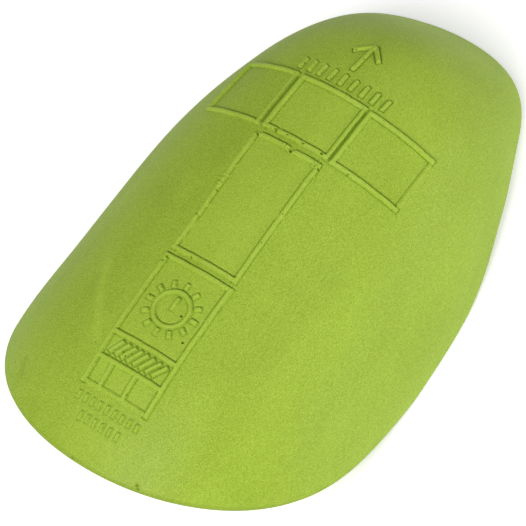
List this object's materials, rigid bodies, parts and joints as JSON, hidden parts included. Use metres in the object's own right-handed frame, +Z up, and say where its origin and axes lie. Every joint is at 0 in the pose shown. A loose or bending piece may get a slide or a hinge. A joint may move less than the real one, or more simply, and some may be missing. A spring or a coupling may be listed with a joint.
{
  "type": "foam armour insert",
  "caption": "Moulded foam limb guard insert: a tapering half-pipe shell with a domed top end, an open rising lower end, and raised frame ribs and plain marks along its crown.",
  "frame": {"origin": "on the floor under the middle of the object's box, with the shell resting on its rim and its hollow below", "axes": "+Z up out of the crown, +Y along the limb to the closed top end, +X to the right seen from above with the top end ahead"},
  "size_m": [0.1098, 0.18, 0.0523],
  "materials": {
    "foam": "matte, fine-grained moulded foam skin in lime green"
  },
  "bodies": {
    "root": {"foam_shell": "foam"}
  },
  "joints": []
}
